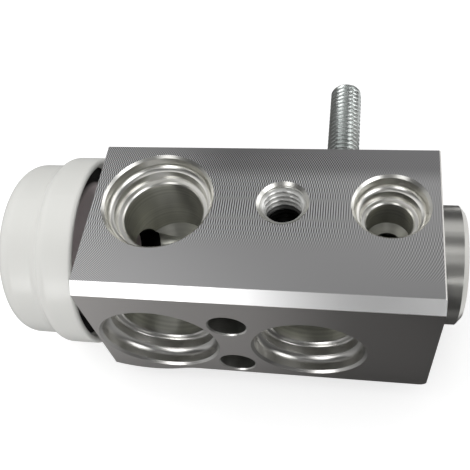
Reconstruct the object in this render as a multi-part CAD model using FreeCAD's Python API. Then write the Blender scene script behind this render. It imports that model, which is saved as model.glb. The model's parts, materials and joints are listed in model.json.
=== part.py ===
import FreeCAD, Part
import math
import os

# Block-type thermostatic expansion valve of a vehicle air conditioner, in millimetres, +Z up.
# The origin is on the evaporator face, midway between the two bolt holes, which lie above each other.
# X runs along the valve axis from the power head to the adjusting plug, Y from the evaporator face
# to the back face, and Z up to the pipe face.

V = FreeCAD.Vector

# Block
block_length = 60.0
block_depth = 30.8
pipe_face_height = 17.95
underside_drop = 11.9
front_chamfer = 1.9
plug_edge_chamfer = 0.25
plug_corner_radius = 1.3
lobe_radius = 17.0
lobe_from_head_end = 7.6
lobe_drop = 13.6
lobe_blend_radius = 12.0
axis_depth = 18.9

# Bolt holes through the block, one above and one below the valve axis
bolt_from_head_end = 25.3
bolt_spacing = 15.3
bolt_hole_radius = 3.3
hole_edge_chamfer = 0.25

# Ports: places along the block, counted from the head end
suction_from_head_end = 11.75
evaporator_inlet_from_head_end = 38.85
liquid_from_head_end = 51.8

# Ports: seats that the pipe flanges' seals enter
suction_outlet_mouth_radius = 10.1
suction_outlet_pilot_radius = 8.6
suction_outlet_bore_radius = 7.3
evaporator_outlet_mouth_radius = 11.15
evaporator_outlet_pilot_radius = 9.65
evaporator_outlet_bore_radius = 8.15
evaporator_inlet_mouth_radius = 10.15
evaporator_inlet_pilot_radius = 8.7
evaporator_inlet_bore_radius = 7.4
liquid_mouth_radius = 6.55
liquid_pilot_radius = 5.15
liquid_bore_radius = 3.95
mouth_chamfer = 0.45
seal_land_end = 1.75
seal_land_draft = 0.05
seal_seat_end = 3.0
seal_seat_sag = 0.25
pilot_end = 4.4
pilot_draft = 0.2
ledge_round = 0.35
ledge_depth = 4.8
bore_edge_chamfer = 0.25

# Ports: how deep the bores go, and the tapered passages on past the two large ones
suction_outlet_bore_depth = 9.0
suction_outlet_passage_depth = 17.4
evaporator_outlet_bore_depth = 11.0
evaporator_outlet_passage_depth = 19.0
passage_narrowing = 0.25
evaporator_inlet_bore_depth = 9.6
evaporator_inlet_feed_radius = 4.5
evaporator_inlet_feed_depth = 20.5
liquid_bore_depth = 10.7
liquid_feed_radius = 2.4
drill_half_angle = 59.0

# Thread for the pipe clamp's bolt, M8, cut at its major diameter
clamp_thread_from_head_end = 33.85
clamp_thread_radius = 4.0
clamp_thread_depth = 9.4
clamp_countersink_radius = 4.55

# Stud for the pipe clamp's brace, M6, screwed into the back face
stud_from_head_end = 43.3
stud_below_pipe_face = 6.5
stud_radius = 2.95
stud_reach = 20.5
stud_engagement = 8.5
stud_tip_chamfer = 0.9
stud_set_end_radius = 2.75
stud_set_end_reach = 0.3
stud_hole_runout = 1.2

# Fits
thread_clearance = 0.03
running_clearance = 0.03
face_gap = 0.02

# Drawing aids: how far a cutting tool overshoots a face, and how close two places count as one
overshoot = 1.0
same_place = 1e-4

# Power head, as distances out from the block's head end
head_thread_radius = 8.0
head_thread_depth = 2.8
equalizing_bore_radius = 4.6
head_seal_thickness = 1.2
head_seal_outer_radius = 10.0
head_collar_radius = 10.4
head_collar_thickness = 1.1
head_spigot_radius = 6.8
head_rim_clearance = 0.15
diaphragm_height = 7.1
diaphragm_thickness = 0.25
diaphragm_edge_inset = 0.55
diaphragm_flat_radius = 8.8
diaphragm_wave_height = 0.45
diaphragm_wave_count = 2
diaphragm_wave_margin = 0.15
head_base_flat_share = 0.605
head_rim_plate = 1.1
head_wall = 1.1
dome_headroom = 4.31
dome_foot_inset = 2.25
dome_shoulder_radius = 3.2
dome_recess_radius = 4.0
dome_recess_depth = 1.0
fill_hole_radius = 1.1
fill_ball_radius = 1.5

# Insulating cap over the power head
cap_mouth_height = 2.6
cap_skirt_radius = 18.5
cap_shoulder_step = 1.55
cap_shoulder_start = 7.8
cap_shoulder_end = 11.3
cap_height = 18.4
cap_corner_radius = 3.3
cap_wall = 1.3
cap_bead_height = 0.45
cap_bead_width = 0.9

# Moving set: stop, push rod, ball and its carrier
valve_stroke = 0.8
stop_radius = 8.2
stop_plate = 0.7
stop_hub_radius = 3.8
stop_travel_margin = 0.1
sensing_rod_radius = 3.0
sensing_rod_engagement = 1.6
rod_socket_depth = 3.0
rod_radius = 1.2
rod_end_chamfer = 0.2
rod_seal_section = 1.8
rod_retainer_thickness = 0.5
rod_retainer_teeth = 6
rod_seal_pocket_radius = 3.05
rod_seal_pocket_from_head_end = 23.4
rod_retainer_hole_radius = 1.5
tooth_gap_width = 0.8
tooth_gap_depth = 0.9

# Metering seat and valve chamber
orifice_radius = 1.6
seat_mouth_radius = 2.6
seat_half_angle = 41.0
chamber_floor_from_head_end = 46.6
chamber_radius = 6.4
ball_radius = 2.25
carrier_radius = 4.1
carrier_plate = 1.2
carrier_stem_radius = 3.0
carrier_stem_length = 2.8
carrier_dish_radius = 2.0
damper_thickness = 0.3
damper_arm_count = 6
damper_arm_width = 1.5
damper_arm_length = 2.6
spring_wire_radius = 0.45
spring_mean_radius = 3.8
spring_turns = 6.5

# Adjusting plug, M14x1, turned from bar, with a hexagon socket
plug_gap = 0.8
plug_flange_radius = 10.9
plug_flange_thickness = 4.45
plug_flange_chamfer_width = 1.1
plug_flange_chamfer_length = 0.95
plug_back_chamfer = 0.3
plug_thread_radius = 7.0
plug_thread_length = 3.0
plug_thread_depth = 2.8
plug_shank_length = 6.9
plug_land_clearance = 0.05
plug_groove_start = 4.35
plug_groove_width = 1.5
plug_groove_radius = 5.2
plug_seal_section = 1.3
spring_pocket_radius = 4.5
spring_pocket_floor = 0.6
socket_across_flats = 8.0
socket_depth = 2.3
socket_chamfer = 0.4

# Places that follow from the sizes above
head_face_x = -bolt_from_head_end
plug_face_x = head_face_x + block_length
underside_z = -underside_drop
chamber_floor_x = head_face_x + chamber_floor_from_head_end
seat_cone_length = (seat_mouth_radius - orifice_radius) / math.tan(math.radians(seat_half_angle))
orifice_edge_x = chamber_floor_x - seat_cone_length
seat_apex_x = orifice_edge_x - orifice_radius / math.tan(math.radians(seat_half_angle))
ball_x = seat_apex_x + ball_radius / math.sin(math.radians(seat_half_angle)) + face_gap
carrier_front_x = ball_x + ball_radius * math.sqrt(2) + face_gap - carrier_dish_radius
flange_back_x = plug_face_x + plug_gap
plug_tip_x = flange_back_x - plug_shank_length
pocket_floor_x = flange_back_x + spring_pocket_floor
shoulder_height = head_seal_thickness + face_gap
cap_top_radius = cap_skirt_radius - cap_shoulder_step
head_rim_radius = cap_skirt_radius - cap_wall - head_rim_clearance
head_base_flat_radius = head_rim_radius * head_base_flat_share
diaphragm_radius = head_rim_radius - diaphragm_edge_inset
dome_foot_radius = head_rim_radius - dome_foot_inset
stop_top_height = diaphragm_height - face_gap
stop_bottom_height = stop_top_height - stop_plate
wave_end_radius = dome_foot_radius - head_wall - diaphragm_wave_margin
dome_base_height = diaphragm_height + diaphragm_thickness + 2 * face_gap
dome_height = cap_height - cap_wall - dome_headroom - dome_base_height
dish_floor_height = shoulder_height + head_collar_thickness + face_gap
rod_start_x = head_face_x + sensing_rod_engagement - rod_socket_depth


class Axis:
    """A turning axis: where it starts, where it points and the direction its profiles are drawn in."""

    def __init__(self, base, direction, radial):
        self.base = base
        self.direction = direction
        self.radial = radial

    def point(self, along, radius):
        """Give the point at a distance along the axis and a radius out from it."""
        return self.base + self.direction * along + self.radial * radius

    def cylinder(self, start, end, radius):
        """Make a plain cylinder between two distances along the axis."""
        return Part.makeCylinder(radius, end - start, self.point(start, 0.0), self.direction)


class Profile:
    """A half section beside an axis, drawn edge by edge and then turned into a solid."""

    def __init__(self, axis, along, radius):
        self.axis = axis
        self.first = (along, radius)
        self.last = (along, radius)
        self.edges = []

    def line_to(self, along, radius):
        """Draw a straight edge, and skip one that has no length."""
        if math.hypot(along - self.last[0], radius - self.last[1]) > same_place:
            start = self.axis.point(*self.last)
            end = self.axis.point(along, radius)
            self.edges.append(Part.makeLine(start, end))
            self.last = (along, radius)
        return self

    def arc_to(self, middle, end):
        """Draw an arc through a middle point."""
        points = [self.axis.point(*place) for place in (self.last, middle, end)]
        self.edges.append(Part.Arc(*points).toShape())
        self.last = end
        return self

    def corner_to(self, centre, end):
        """Draw a quarter arc about a centre."""
        reach_a = (self.last[0] - centre[0]) + (end[0] - centre[0])
        reach_r = (self.last[1] - centre[1]) + (end[1] - centre[1])
        middle = (centre[0] + reach_a * math.sqrt(0.5), centre[1] + reach_r * math.sqrt(0.5))
        return self.arc_to(middle, end)

    def ogee_to(self, along, radius):
        """Draw two equal arcs that leave and arrive parallel to the axis."""
        start_a, start_r = self.last
        half = math.atan2(abs(radius - start_r), abs(along - start_a))
        quarter_a = (along - start_a) / 2 * math.sin(half) / math.sin(2 * half)
        quarter_r = (radius - start_r) / 2 * (1 - math.cos(half)) / (1 - math.cos(2 * half))
        centre = ((start_a + along) / 2, (start_r + radius) / 2)
        self.arc_to((start_a + quarter_a, start_r + quarter_r), centre)
        return self.arc_to((along - quarter_a, radius - quarter_r), (along, radius))

    def turned(self):
        """Close the section and turn it all the way round the axis."""
        self.line_to(*self.first)
        face = Part.Face(Part.Wire(self.edges))
        return face.revolve(self.axis.base, self.axis.direction, 360)


def section(axis, points):
    """Turn a section made of straight edges, given as distances and radii."""
    profile = Profile(axis, *points[0])
    for along, radius in points[1:]:
        profile.line_to(along, radius)
    return profile.turned()


def rounded_ring(axis, start, end, inner, outer):
    """Turn a seal ring whose section is pressed flat, with round sides."""
    bulge = min(end - start, outer - inner) / 2
    if end - start < outer - inner:
        profile = Profile(axis, start, inner + bulge)
        profile.line_to(start, outer - bulge)
        profile.arc_to(((start + end) / 2, outer), (end, outer - bulge))
        profile.line_to(end, inner + bulge)
        profile.arc_to(((start + end) / 2, inner), (start, inner + bulge))
        return profile.turned()
    profile = Profile(axis, start + bulge, inner)
    profile.arc_to((start, (inner + outer) / 2), (start + bulge, outer))
    profile.line_to(end - bulge, outer)
    profile.arc_to((end, (inner + outer) / 2), (end - bulge, inner))
    return profile.turned()


def drill_point(radius, tip_radius=0.0):
    """Give how much deeper a drill's cone goes, from its own radius to a smaller one."""
    return (radius - tip_radius) / math.tan(math.radians(drill_half_angle))


valve_axis = Axis(V(0, axis_depth, 0), V(1, 0, 0), V(0, 0, 1))
head_axis = Axis(V(head_face_x, axis_depth, 0), V(-1, 0, 0), V(0, 0, 1))
inward_axis = Axis(V(head_face_x, axis_depth, 0), V(1, 0, 0), V(0, 0, 1))


def pipe_axis(from_head_end):
    """Give the axis of a hole that goes down from the pipe face."""
    return Axis(V(head_face_x + from_head_end, axis_depth, pipe_face_height), V(0, 0, -1), V(1, 0, 0))


def evaporator_axis(from_head_end, height=0.0):
    """Give the axis of a hole that goes in from the evaporator face."""
    return Axis(V(head_face_x + from_head_end, 0, height), V(0, 1, 0), V(1, 0, 0))


def port(axis, mouth, pilot, bore, bore_end, feed, feed_end, tapered=False):
    """Make the hollow of a port: mouth, seal land and seat, pilot, ledge, bore and the way on inside."""
    land = mouth - mouth_chamfer
    seat = (seal_land_end, land - seal_land_draft)
    seat_width = seat[1] - pilot
    seat_length = seal_seat_end - seal_land_end
    lean = seal_seat_sag / math.hypot(seat_width, seat_length)
    seat_middle = (seal_land_end + seat_length / 2 + seat_width * lean,
                   pilot + seat_width / 2 + seat_length * lean)
    ledge = pilot - pilot_draft - ledge_round
    profile = Profile(axis, -overshoot, 0.0)
    profile.line_to(-overshoot, mouth).line_to(0.0, mouth).line_to(mouth_chamfer, land)
    profile.line_to(*seat).arc_to(seat_middle, (seal_seat_end, pilot))
    profile.line_to(pilot_end, pilot - pilot_draft)
    profile.corner_to((pilot_end, ledge), (pilot_end + ledge_round, ledge))
    profile.line_to(ledge_depth, bore + bore_edge_chamfer)
    profile.line_to(ledge_depth + bore_edge_chamfer, bore).line_to(bore_end, bore)
    if not tapered:
        profile.line_to(bore_end + drill_point(bore, feed), feed)
    profile.line_to(feed_end, feed).line_to(feed_end + drill_point(feed), 0.0)
    return profile.turned()


def block_outline():
    """Draw the extruded section of the block, with the lobe that backs the large port."""
    lobe_x = head_face_x + lobe_from_head_end
    lobe_z = lobe_radius - lobe_drop
    blend_z = underside_z - lobe_blend_radius
    reach = lobe_radius + lobe_blend_radius
    blend_x = lobe_x + math.sqrt(reach ** 2 - (lobe_z - blend_z) ** 2)
    share = lobe_radius / reach
    tangent = V(lobe_x + (blend_x - lobe_x) * share, 0, lobe_z + (blend_z - lobe_z) * share)
    head_z = lobe_z - math.sqrt(lobe_radius ** 2 - lobe_from_head_end ** 2)
    rise = math.atan2(tangent.z - blend_z, tangent.x - blend_x)
    middle_angle = (rise + math.pi / 2) / 2
    blend_middle = V(blend_x + lobe_blend_radius * math.cos(middle_angle), 0,
                     blend_z + lobe_blend_radius * math.sin(middle_angle))
    lobe_bottom = V(lobe_x, 0, -lobe_drop)
    blend_foot = V(blend_x, 0, underside_z)
    head_foot = V(head_face_x, 0, head_z)
    corners = [head_foot, V(head_face_x, 0, pipe_face_height), V(plug_face_x, 0, pipe_face_height)]
    corners += [V(plug_face_x, 0, underside_z), blend_foot]
    edges = [Part.makeLine(start, end) for start, end in zip(corners, corners[1:])]
    edges.append(Part.Arc(blend_foot, blend_middle, tangent).toShape())
    edges.append(Part.Arc(tangent, lobe_bottom, head_foot).toShape())
    return Part.Face(Part.Wire(edges))


def edges_at(shape, **place):
    """Pick the straight edges that lie wholly at the given coordinates."""
    found = []
    for edge in shape.Edges:
        ends = [vertex.Point for vertex in edge.Vertexes]
        if len(ends) == 2 and all(abs(getattr(end, name) - value) < same_place
                                  for end in ends for name, value in place.items()):
            found.append(edge)
    return found


def valve_block():
    """Make the block: extruded bar, milled edges, ports, valve bores and threaded holes."""
    body = block_outline().extrude(V(0, block_depth, 0))
    body = body.makeFillet(plug_corner_radius, edges_at(body, x=plug_face_x, z=underside_z))
    body = body.makeChamfer(front_chamfer, edges_at(body, y=0.0, z=pipe_face_height))
    body = body.makeChamfer(plug_edge_chamfer, edges_at(body, x=plug_face_x, z=pipe_face_height))
    hollows = [
        port(pipe_axis(suction_from_head_end), suction_outlet_mouth_radius,
             suction_outlet_pilot_radius, suction_outlet_bore_radius, suction_outlet_bore_depth,
             suction_outlet_bore_radius - passage_narrowing, suction_outlet_passage_depth, tapered=True),
        port(evaporator_axis(suction_from_head_end), evaporator_outlet_mouth_radius,
             evaporator_outlet_pilot_radius, evaporator_outlet_bore_radius,
             evaporator_outlet_bore_depth, evaporator_outlet_bore_radius - passage_narrowing,
             evaporator_outlet_passage_depth, tapered=True),
        port(evaporator_axis(evaporator_inlet_from_head_end), evaporator_inlet_mouth_radius,
             evaporator_inlet_pilot_radius, evaporator_inlet_bore_radius,
             evaporator_inlet_bore_depth, evaporator_inlet_feed_radius,
             evaporator_inlet_feed_depth),
        port(pipe_axis(liquid_from_head_end), liquid_mouth_radius, liquid_pilot_radius,
             liquid_bore_radius, liquid_bore_depth, liquid_feed_radius,
             pipe_face_height - chamber_radius / 2),
        clamp_hole(),
        stud_hole(),
        head_hollow(),
        chamber_hollow(),
    ]
    hollows += [bolt_hole(side * bolt_spacing / 2) for side in (1, -1)]
    for hollow in hollows:
        body = body.cut(hollow)
    return body


def clamp_hole():
    """Make the hollow of the pipe clamp's threaded hole, countersunk and drilled blind."""
    radius = clamp_thread_radius
    sink = clamp_countersink_radius
    points = [(-overshoot, 0.0), (-overshoot, sink), (0.0, sink), (sink - radius, radius)]
    points += [(clamp_thread_depth, radius), (clamp_thread_depth + drill_point(radius), 0.0)]
    return section(pipe_axis(clamp_thread_from_head_end), points)


def stud_axis():
    """Give the axis of the stud, pointing out of the back face."""
    place = V(head_face_x + stud_from_head_end, block_depth, pipe_face_height - stud_below_pipe_face)
    return Axis(place, V(0, 1, 0), V(1, 0, 0))


def stud_hole():
    """Make the hollow that the stud is screwed into."""
    radius = stud_radius + thread_clearance
    bottom = -stud_engagement - stud_hole_runout
    points = [(overshoot, 0.0), (overshoot, radius), (bottom, radius)]
    points += [(bottom - drill_point(radius), 0.0)]
    return section(stud_axis(), points)


def bolt_hole(height):
    """Make one bolt hole's hollow, through the block and with broken edges."""
    wide = bolt_hole_radius + hole_edge_chamfer
    inner = block_depth - hole_edge_chamfer
    points = [(-overshoot, 0.0), (-overshoot, wide), (0.0, wide)]
    points += [(hole_edge_chamfer, bolt_hole_radius), (inner, bolt_hole_radius)]
    points += [(block_depth, wide), (block_depth + overshoot, wide)]
    points += [(block_depth + overshoot, 0.0)]
    return section(evaporator_axis(bolt_from_head_end, height), points)


def head_hollow():
    """Make the hollow from the head end: thread, equalizing bore, rod seal pocket and rod bore."""
    pocket_end = rod_seal_pocket_from_head_end
    outlet_x = evaporator_inlet_from_head_end
    guide_radius = rod_radius + running_clearance
    thread = head_thread_radius + thread_clearance
    points = [(-overshoot, 0.0), (-overshoot, thread), (head_thread_depth, thread)]
    points += [(head_thread_depth, equalizing_bore_radius)]
    points += [(suction_from_head_end, equalizing_bore_radius)]
    points += [(suction_from_head_end, rod_seal_pocket_radius), (pocket_end, rod_seal_pocket_radius)]
    points += [(pocket_end, guide_radius), (outlet_x, guide_radius), (outlet_x, 0.0)]
    return section(inward_axis, points)


def chamber_hollow():
    """Make the hollow from the plug end: thread, valve chamber, conical seat and orifice."""
    outlet_x = head_face_x + evaporator_inlet_from_head_end
    thread = plug_thread_radius + thread_clearance
    thread_end = plug_face_x - plug_thread_depth
    points = [(outlet_x, 0.0), (outlet_x, orifice_radius), (orifice_edge_x, orifice_radius)]
    points += [(chamber_floor_x, seat_mouth_radius), (chamber_floor_x, chamber_radius)]
    points += [(thread_end, chamber_radius), (thread_end, thread)]
    points += [(plug_face_x + overshoot, thread), (plug_face_x + overshoot, 0.0)]
    return section(valve_axis, points)


def mounting_stud():
    """Make the stud at its thread's major diameter, with chamfered ends and a thinner set end."""
    core = stud_radius - stud_tip_chamfer
    inner = -stud_engagement
    points = [(inner, 0.0), (inner, core)]
    points += [(inner + stud_set_end_radius - core, stud_set_end_radius)]
    points += [(stud_set_end_reach, stud_set_end_radius), (stud_set_end_reach, stud_radius)]
    points += [(stud_reach - stud_tip_chamfer, stud_radius), (stud_reach, core), (stud_reach, 0.0)]
    return section(stud_axis(), points)


def head_neck():
    """Make the power head's turned neck: thread, collar on the seal, and the stop's rest inside."""
    thread_end = -head_thread_depth + face_gap
    collar_end = shoulder_height + head_collar_thickness
    rest = stop_bottom_height - valve_stroke - stop_travel_margin
    points = [(thread_end, equalizing_bore_radius), (thread_end, head_thread_radius)]
    points += [(shoulder_height, head_thread_radius), (shoulder_height, head_collar_radius)]
    points += [(collar_end, head_collar_radius), (collar_end, head_spigot_radius)]
    points += [(rest, head_spigot_radius), (rest, equalizing_bore_radius)]
    return section(head_axis, points)


def head_base():
    """Make the power head's pressed dish, brazed to the neck and welded to the diaphragm's edge."""
    floor = dish_floor_height
    hole = head_spigot_radius + face_gap
    under_rim = diaphragm_height - head_wall
    flat = head_base_flat_radius
    slope_end = wave_end_radius
    points = [(floor, hole), (floor, flat), (under_rim, slope_end + head_wall)]
    points += [(under_rim, head_rim_radius), (diaphragm_height, head_rim_radius)]
    points += [(diaphragm_height, slope_end), (floor + head_wall, flat - head_wall)]
    points += [(floor + head_wall, hole)]
    return section(head_axis, points)


def diaphragm():
    """Make the thin diaphragm, flat in the middle and at its edge, with waves between."""
    low = diaphragm_height + face_gap
    high = low + diaphragm_thickness
    start = diaphragm_flat_radius
    end = wave_end_radius
    step = (end - start) / diaphragm_wave_count
    profile = Profile(head_axis, low, 0.0)
    profile.line_to(low, start)
    for wave in range(diaphragm_wave_count):
        crest = start + (wave + 0.5) * step
        profile.arc_to((low + diaphragm_wave_height, crest), (low, start + (wave + 1) * step))
    profile.line_to(low, diaphragm_radius)
    profile.line_to(high, diaphragm_radius)
    profile.line_to(high, end)
    for wave in reversed(range(diaphragm_wave_count)):
        crest = start + (wave + 0.5) * step
        profile.arc_to((high + diaphragm_wave_height, crest), (high, start + wave * step))
    profile.line_to(high, 0.0)
    return profile.turned()


def head_dome():
    """Make the power head's pressed dome, with the small well that holds the fill ball."""
    rim_low = dome_base_height
    rim_high = rim_low + head_rim_plate
    top = rim_low + dome_height
    bend = dome_shoulder_radius
    well = top - dome_recess_depth
    foot = dome_foot_radius
    wall = head_wall
    profile = Profile(head_axis, rim_low, foot - wall)
    profile.line_to(rim_low, head_rim_radius)
    profile.line_to(rim_high, head_rim_radius)
    profile.line_to(rim_high, foot)
    profile.line_to(top - bend, foot)
    profile.corner_to((top - bend, foot - bend), (top, foot - bend))
    profile.line_to(top, dome_recess_radius)
    profile.line_to(well, dome_recess_radius - dome_recess_depth)
    profile.line_to(well, fill_hole_radius)
    profile.line_to(well - wall, fill_hole_radius)
    profile.line_to(well - wall, dome_recess_radius - dome_recess_depth + wall / 2)
    profile.line_to(top - wall, dome_recess_radius + wall / 2)
    profile.line_to(top - wall, foot - bend)
    profile.corner_to((top - bend, foot - bend), (top - bend, foot - wall))
    return profile.turned()


def fill_ball():
    """Make the ball that closes the fill hole, resting on the hole's edge."""
    well = dome_base_height + dome_height - dome_recess_depth
    lift = math.sqrt(fill_ball_radius ** 2 - fill_hole_radius ** 2) + face_gap
    return Part.makeSphere(fill_ball_radius, head_axis.point(well + lift, 0.0))


def head_cap():
    """Make the moulded cap: skirt, ogee shoulder, round top, and a bead that snaps past the rim."""
    skirt = cap_skirt_radius
    top = cap_top_radius
    wall = cap_wall
    lip = wall / 2
    corner = cap_corner_radius
    inner_corner = max(corner - wall, wall / 4)
    inner_end = cap_height - wall - inner_corner
    inner_side = top - wall - inner_corner
    bead_end = diaphragm_height - head_wall - face_gap
    bead_start = bead_end - cap_bead_width
    bead_middle = (bead_start + bead_end) / 2
    profile = Profile(head_axis, cap_mouth_height + lip, skirt)
    profile.line_to(cap_shoulder_start, skirt)
    profile.ogee_to(cap_shoulder_end, top)
    profile.line_to(cap_height - corner, top)
    profile.corner_to((cap_height - corner, top - corner), (cap_height, top - corner))
    profile.line_to(cap_height, 0.0)
    profile.line_to(cap_height - wall, 0.0)
    profile.line_to(cap_height - wall, inner_side)
    profile.corner_to((inner_end, inner_side), (inner_end, top - wall))
    profile.line_to(cap_shoulder_end, top - wall)
    profile.ogee_to(cap_shoulder_start, skirt - wall)
    profile.line_to(bead_end, skirt - wall)
    profile.arc_to((bead_middle, skirt - wall - cap_bead_height), (bead_start, skirt - wall))
    profile.line_to(cap_mouth_height + lip, skirt - wall)
    profile.arc_to((cap_mouth_height, skirt - lip), (cap_mouth_height + lip, skirt))
    return profile.turned()


def head_seal():
    """Make the ring that seals the power head against the block's end."""
    inner = head_thread_radius + running_clearance
    return rounded_ring(head_axis, face_gap, head_seal_thickness, inner, head_seal_outer_radius)


def diaphragm_stop():
    """Make the plate under the diaphragm, with the hub that takes the sensing rod's end."""
    hub_bottom = stop_bottom_height - valve_stroke
    socket = sensing_rod_radius + thread_clearance
    points = [(stop_top_height, 0.0), (stop_top_height, stop_radius)]
    points += [(stop_bottom_height, stop_radius), (stop_bottom_height, stop_hub_radius)]
    points += [(hub_bottom, stop_hub_radius), (hub_bottom, socket)]
    points += [(stop_bottom_height, socket), (stop_bottom_height, 0.0)]
    return section(head_axis, points)


def sensing_rod():
    """Make the thick rod in the neck, which carries the stop and takes the push rod's end."""
    top = stop_bottom_height - face_gap
    bottom = -sensing_rod_engagement
    socket = rod_radius + thread_clearance
    socket_end = bottom + rod_socket_depth + face_gap
    edge = rod_end_chamfer
    points = [(top, 0.0), (top, sensing_rod_radius - edge), (top - edge, sensing_rod_radius)]
    points += [(bottom + edge, sensing_rod_radius), (bottom, sensing_rod_radius - edge)]
    points += [(bottom, socket), (socket_end, socket), (socket_end, 0.0)]
    return section(head_axis, points)


def push_rod():
    """Make the rod that carries the diaphragm's movement through the block to the ball."""
    end = ball_x - ball_radius - face_gap
    core = rod_radius - rod_end_chamfer
    points = [(rod_start_x, 0.0), (rod_start_x, core), (rod_start_x + rod_end_chamfer, rod_radius)]
    points += [(end - rod_end_chamfer, rod_radius), (end, core), (end, 0.0)]
    return section(valve_axis, points)


def rod_seal():
    """Make the ring that seals the push rod between the suction and the liquid side."""
    end = head_face_x + rod_seal_pocket_from_head_end - face_gap
    inner = rod_radius + running_clearance
    outer = rod_seal_pocket_radius - face_gap
    return rounded_ring(valve_axis, end - rod_seal_section, end, inner, outer)


def rod_seal_retainer():
    """Make the toothed washer that holds the rod seal in its pocket."""
    end = head_face_x + rod_seal_pocket_from_head_end - rod_seal_section - 2 * face_gap
    start = end - rod_retainer_thickness
    outer = rod_seal_pocket_radius - face_gap
    washer = valve_axis.cylinder(start, end, outer)
    hole = valve_axis.cylinder(start - overshoot, end + overshoot, rod_retainer_hole_radius)
    washer = washer.cut(hole)
    for tooth in range(rod_retainer_teeth):
        corner = V(start - overshoot, axis_depth - tooth_gap_width / 2, outer - tooth_gap_depth)
        through = rod_retainer_thickness + 2 * overshoot
        slot = Part.makeBox(through, tooth_gap_width, tooth_gap_depth * 2, corner)
        slot.rotate(valve_axis.base, valve_axis.direction, tooth * 360.0 / rod_retainer_teeth)
        washer = washer.cut(slot)
    return washer


def valve_ball():
    """Make the ball that closes the orifice."""
    return Part.makeSphere(ball_radius, valve_axis.point(ball_x, 0.0))


def ball_carrier():
    """Make the carrier: a dish for the ball, a plate for the spring and a stem inside it."""
    front = carrier_front_x
    plate = front + carrier_plate
    stem_end = plate + damper_thickness + carrier_stem_length
    apex = front + carrier_dish_radius
    points = [(apex, 0.0), (front, carrier_dish_radius), (front, carrier_radius)]
    points += [(plate, carrier_radius), (plate, carrier_stem_radius)]
    points += [(stem_end, carrier_stem_radius), (stem_end, 0.0)]
    return section(valve_axis, points)


def damper_spring():
    """Make the leaf ring that rubs on the chamber's wall and keeps the ball from chattering."""
    start = carrier_front_x + carrier_plate + face_gap
    end = start + damper_thickness - 2 * face_gap
    reach = chamber_radius - running_clearance
    ring = valve_axis.cylinder(start, end, carrier_radius)
    leaf_end = start - damper_arm_length
    leaf_inner = reach - damper_thickness
    for arm in range(damper_arm_count):
        corners = [(start, carrier_radius - damper_thickness), (end, carrier_radius - damper_thickness)]
        corners += [(end, reach), (leaf_end, reach), (leaf_end, leaf_inner), (start, leaf_inner)]
        points = [valve_axis.point(along, radius) for along, radius in corners + corners[:1]]
        leaf = Part.Face(Part.makePolygon(points)).extrude(V(0, damper_arm_width, 0))
        leaf.translate(V(0, -damper_arm_width / 2, 0))
        leaf.rotate(valve_axis.base, valve_axis.direction, (arm + 0.5) * 360.0 / damper_arm_count)
        ring = ring.fuse(leaf)
    ring = ring.common(valve_axis.cylinder(leaf_end - overshoot, end + overshoot, reach))
    inner = carrier_stem_radius + running_clearance
    bore = valve_axis.cylinder(start - overshoot, end + overshoot, inner)
    return ring.cut(bore).removeSplitter()


def valve_spring():
    """Make the coil spring between the ball carrier and the plug, ground flat at both ends."""
    start = carrier_front_x + carrier_plate + damper_thickness
    end = pocket_floor_x - face_gap
    length = end - start
    pitch = length / spring_turns
    path = Part.makeHelix(pitch, length + pitch / 2, spring_mean_radius)
    circle = Part.makeCircle(spring_wire_radius, V(spring_mean_radius, 0, 0), V(0, 1, 0))
    coil = Part.Wire(path.Edges).makePipeShell([Part.Wire(circle)], True, True)
    coil.rotate(V(0, 0, 0), V(0, 1, 0), 90)
    coil.translate(V(start - pitch / 4, axis_depth, 0))
    return coil.common(valve_axis.cylinder(start, end, spring_mean_radius * 2))


def adjusting_plug():
    """Make the plug: flange, thread, seal groove, spring pocket and hexagon socket."""
    flange_end = flange_back_x + plug_flange_thickness
    land = chamber_radius - plug_land_clearance
    thread_start = flange_back_x - plug_thread_length
    groove_end = flange_back_x - plug_groove_start
    groove_start = groove_end - plug_groove_width
    rim = plug_flange_radius
    points = [(pocket_floor_x, 0.0), (pocket_floor_x, spring_pocket_radius)]
    points += [(plug_tip_x, spring_pocket_radius), (plug_tip_x, land), (groove_start, land)]
    points += [(groove_start, plug_groove_radius), (groove_end, plug_groove_radius)]
    points += [(groove_end, land), (thread_start, land), (thread_start, plug_thread_radius)]
    points += [(flange_back_x, plug_thread_radius), (flange_back_x, rim - plug_back_chamfer)]
    points += [(flange_back_x + plug_back_chamfer, rim)]
    points += [(flange_end - plug_flange_chamfer_length, rim)]
    points += [(flange_end, rim - plug_flange_chamfer_width), (flange_end, 0.0)]
    body = section(valve_axis, points)
    corner_radius = socket_across_flats / math.sqrt(3)
    mouth = corner_radius + socket_chamfer
    corners = []
    for corner in range(6):
        angle = math.radians(60 * corner)
        reach = V(0, math.cos(angle), math.sin(angle)) * corner_radius
        corners.append(valve_axis.point(flange_end + overshoot, 0.0) + reach)
    hexagon = Part.Face(Part.makePolygon(corners + corners[:1]))
    socket = hexagon.extrude(V(-socket_depth - overshoot, 0, 0))
    sink_start = flange_end - socket_chamfer
    sink_points = [(sink_start, 0.0), (sink_start, corner_radius), (flange_end, mouth)]
    sink_points += [(flange_end + overshoot, mouth), (flange_end + overshoot, 0.0)]
    sink = section(valve_axis, sink_points)
    return body.cut(socket).cut(sink)


def adjusting_plug_seal():
    """Make the ring in the plug's groove."""
    middle = flange_back_x - plug_groove_start - plug_groove_width / 2
    half = plug_seal_section / 2
    inner = plug_groove_radius + running_clearance
    outer = chamber_radius - running_clearance
    return rounded_ring(valve_axis, middle - half, middle + half, inner, outer)


pieces = [valve_block, head_cap, head_dome, fill_ball, diaphragm, head_base, head_neck, head_seal,
          diaphragm_stop, sensing_rod, push_rod, rod_seal, rod_seal_retainer, valve_ball,
          ball_carrier, damper_spring, valve_spring, adjusting_plug, adjusting_plug_seal,
          mounting_stud]

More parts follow.
